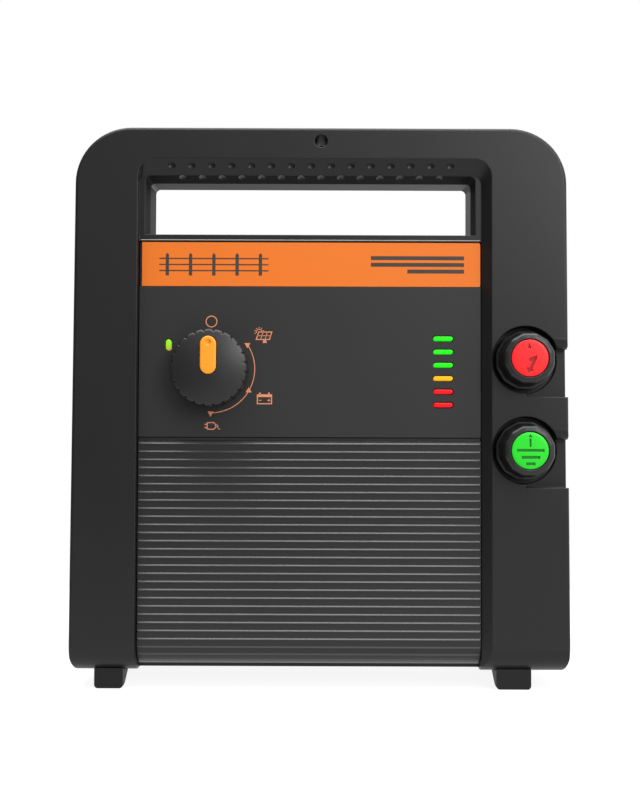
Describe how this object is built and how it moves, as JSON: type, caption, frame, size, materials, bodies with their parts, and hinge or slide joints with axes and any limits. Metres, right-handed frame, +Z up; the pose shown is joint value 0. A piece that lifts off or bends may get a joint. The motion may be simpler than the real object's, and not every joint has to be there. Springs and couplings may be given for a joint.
{
  "type": "fence energizer",
  "caption": "Portable electric fence energizer: two-shell case with carrying handle, rotary power selector, charge indicators and live and earth wire terminals.",
  "frame": {"origin": "centre of the base, on the surface that the four feet stand on", "axes": "+Z up through the handle, -Y out of the front panel, +X towards the side with the wire terminals"},
  "size_m": [0.244, 0.1072, 0.2756],
  "materials": {
    "case": "fine moulded texture",
    "panel": "fine moulded texture",
    "strip": "satin printed overlay",
    "pointer": "satin",
    "knob": "satin",
    "rubber": "matte",
    "steel": "plated",
    "live_color": "satin",
    "earth_color": "satin",
    "black_nylon": "satin",
    "lens_green": "glowing lens",
    "lens_amber": "glowing lens",
    "lens_red": "glowing lens",
    "lens_status": "glowing lens",
    "clear": "clear moulding",
    "board": "solder resist",
    "core": "varnished laminations",
    "copper": "enamelled wire",
    "alloy": "extruded",
    "brass": "plated"
  },
  "bodies": {
    "case": {"front_shell": "case", "rear_shell": "case", "control_panel": "panel", "ribbed_panel": "panel", "case_seal": "rubber", "handle_seal": "rubber", "selector_seal": "rubber", "live_stud_seal": "rubber", "earth_stud_seal": "rubber", "foot_front_left": "rubber", "foot_front_right": "rubber", "foot_rear_left": "rubber", "foot_rear_right": "rubber", "case_screw_1": "steel", "case_screw_2": "steel", "case_screw_3": "steel", "case_screw_4": "steel", "case_screw_5": "steel", "case_screw_6": "steel", "board_screw_1": "steel", "board_screw_2": "steel", "board_screw_3": "steel", "board_screw_4": "steel", "live_lead": "live_color", "live_contact_plate": "steel", "live_stud": "steel", "live_stud_nut": "steel", "earth_lead": "earth_color", "earth_contact_plate": "steel", "earth_stud": "steel", "earth_stud_nut": "steel", "label_strip": "strip", "rotary_switch": "black_nylon", "power_inlet": "black_nylon", "storage_capacitor_1": "black_nylon", "storage_capacitor_2": "black_nylon", "storage_capacitor_3": "black_nylon", "charge_lens_1": "lens_green", "charge_lens_2": "lens_green", "charge_lens_3": "lens_green", "charge_lens_4": "lens_amber", "charge_lens_5": "lens_red", "charge_lens_6": "lens_red", "status_lens": "lens_status", "light_guide": "clear", "circuit_board": "board", "transformer_core": "core", "transformer_winding": "copper", "heat_sink": "alloy", "inlet_pins": "brass"},
    "selector": {"selector_knob": "knob", "knob_pointer": "pointer", "selector_shaft": "steel"},
    "live_clamp": {"live_clamp_washer": "steel"},
    "live_terminal": {"live_knob": "knob", "live_cap": "live_color"},
    "earth_clamp": {"earth_clamp_washer": "steel"},
    "earth_terminal": {"earth_knob": "knob", "earth_cap": "earth_color"}
  },
  "joints": [
    {"name": "selector_turn", "type": "hinge", "parent": "case", "child": "selector", "pos_m": [-0.054, 0, 0.1568], "axis": [0, 1, 0], "range_deg": [0, 180]},
    {"name": "live_clamp_slide", "type": "slide", "parent": "case", "child": "live_clamp", "axis": [0, -1, 0], "range_m": [0, 0.00376]},
    {"name": "live_knob_turn", "type": "hinge", "parent": "live_clamp", "child": "live_terminal", "pos_m": [0.1004, 0, 0.1615], "axis": [0, -1, 0], "range_deg": [0, 1080]},
    {"name": "earth_clamp_slide", "type": "slide", "parent": "case", "child": "earth_clamp", "axis": [0, -1, 0], "range_m": [0, 0.00376]},
    {"name": "earth_knob_turn", "type": "hinge", "parent": "earth_clamp", "child": "earth_terminal", "pos_m": [0.1004, 0, 0.1171], "axis": [0, -1, 0], "range_deg": [0, 1080]}
  ],
  "couplings": [
    {"joint": "live_clamp_slide", "follows": "live_knob_turn", "m_per_rad": 0.00019894},
    {"joint": "earth_clamp_slide", "follows": "earth_knob_turn", "m_per_rad": 0.00019894}
  ]
}
